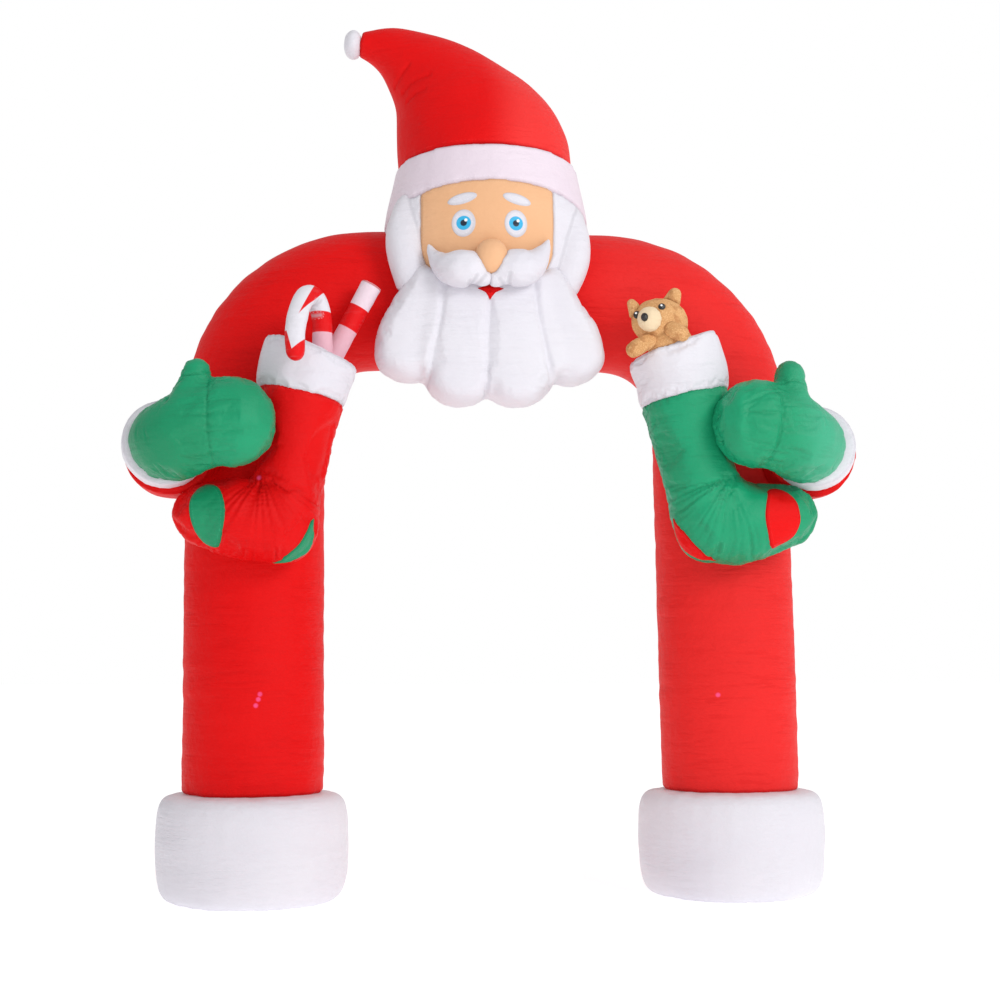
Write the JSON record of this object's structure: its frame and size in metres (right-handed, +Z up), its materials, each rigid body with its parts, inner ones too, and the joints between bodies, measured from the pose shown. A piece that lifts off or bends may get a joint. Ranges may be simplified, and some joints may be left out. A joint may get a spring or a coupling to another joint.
{
  "type": "inflatable arch",
  "caption": "Free-standing inflatable archway: blown fabric tube on drum feet with a bearded figure in a tall hat on top, mittened arms and hanging stockings.",
  "frame": {"origin": "middle of the whole object's outline on the ground", "axes": "+X to the object's own width, towards the right foot as seen from the front; +Y to the back, the front faces -Y; +Z up"},
  "size_m": [2.4537, 0.9363, 3.0145],
  "materials": {
    "arch_tube": "thin coated fabric, blown tight",
    "bear_ear_left": "brushed plush",
    "bear_ear_right": "brushed plush",
    "bear_eye_left": "shiny bead",
    "bear_eye_right": "shiny bead",
    "bear_head": "brushed plush",
    "bear_muzzle": "brushed plush",
    "bear_nose": "shiny bead",
    "bear_paw_left": "brushed plush",
    "bear_paw_right": "brushed plush",
    "beard": "brushed plush",
    "brow_left": "thin coated fabric, blown tight",
    "brow_right": "thin coated fabric, blown tight",
    "candy_hook": "thin coated fabric, blown tight",
    "candy_stick": "thin coated fabric, blown tight",
    "eye_left": "thin coated fabric, blown tight",
    "eye_right": "thin coated fabric, blown tight",
    "face": "thin coated fabric, blown tight",
    "foot_left": "thin coated fabric, blown tight",
    "foot_right": "thin coated fabric, blown tight",
    "hair": "thin coated fabric, blown tight",
    "hat": "thin coated fabric, blown tight",
    "hat_band": "thin coated fabric, blown tight",
    "heel_patch_left": "thin coated fabric, blown tight",
    "heel_patch_right": "thin coated fabric, blown tight",
    "mitten_left": "thin coated fabric, blown tight",
    "mitten_right": "thin coated fabric, blown tight",
    "moustache_left": "thin coated fabric, blown tight",
    "moustache_right": "thin coated fabric, blown tight",
    "mouth": "thin coated fabric, blown tight",
    "nose": "thin coated fabric, blown tight",
    "pompom": "thin coated fabric, blown tight",
    "sleeve_left": "thin coated fabric, blown tight",
    "sleeve_right": "thin coated fabric, blown tight",
    "stocking_cuff_left": "thin coated fabric, blown tight",
    "stocking_cuff_right": "thin coated fabric, blown tight",
    "stocking_left": "thin coated fabric, blown tight",
    "stocking_right": "thin coated fabric, blown tight",
    "toe_patch_left": "thin coated fabric, blown tight",
    "toe_patch_right": "thin coated fabric, blown tight",
    "wrist_cuff_left": "thin coated fabric, blown tight",
    "wrist_cuff_right": "thin coated fabric, blown tight"
  },
  "bodies": {
    "root": {"arch_tube": "arch_tube", "bear_ear_left": "bear_ear_left", "bear_ear_right": "bear_ear_right", "bear_eye_left": "bear_eye_left", "bear_eye_right": "bear_eye_right", "bear_head": "bear_head", "bear_muzzle": "bear_muzzle", "bear_nose": "bear_nose", "bear_paw_left": "bear_paw_left", "bear_paw_right": "bear_paw_right", "beard": "beard", "brow_left": "brow_left", "brow_right": "brow_right", "candy_hook": "candy_hook", "candy_stick": "candy_stick", "eye_left": "eye_left", "eye_right": "eye_right", "face": "face", "foot_left": "foot_left", "foot_right": "foot_right", "hair": "hair", "hat": "hat", "hat_band": "hat_band", "heel_patch_left": "heel_patch_left", "heel_patch_right": "heel_patch_right", "mitten_left": "mitten_left", "mitten_right": "mitten_right", "moustache_left": "moustache_left", "moustache_right": "moustache_right", "mouth": "mouth", "nose": "nose", "pompom": "pompom", "sleeve_left": "sleeve_left", "sleeve_right": "sleeve_right", "stocking_cuff_left": "stocking_cuff_left", "stocking_cuff_right": "stocking_cuff_right", "stocking_left": "stocking_left", "stocking_right": "stocking_right", "toe_patch_left": "toe_patch_left", "toe_patch_right": "toe_patch_right", "wrist_cuff_left": "wrist_cuff_left", "wrist_cuff_right": "wrist_cuff_right"}
  },
  "joints": []
}
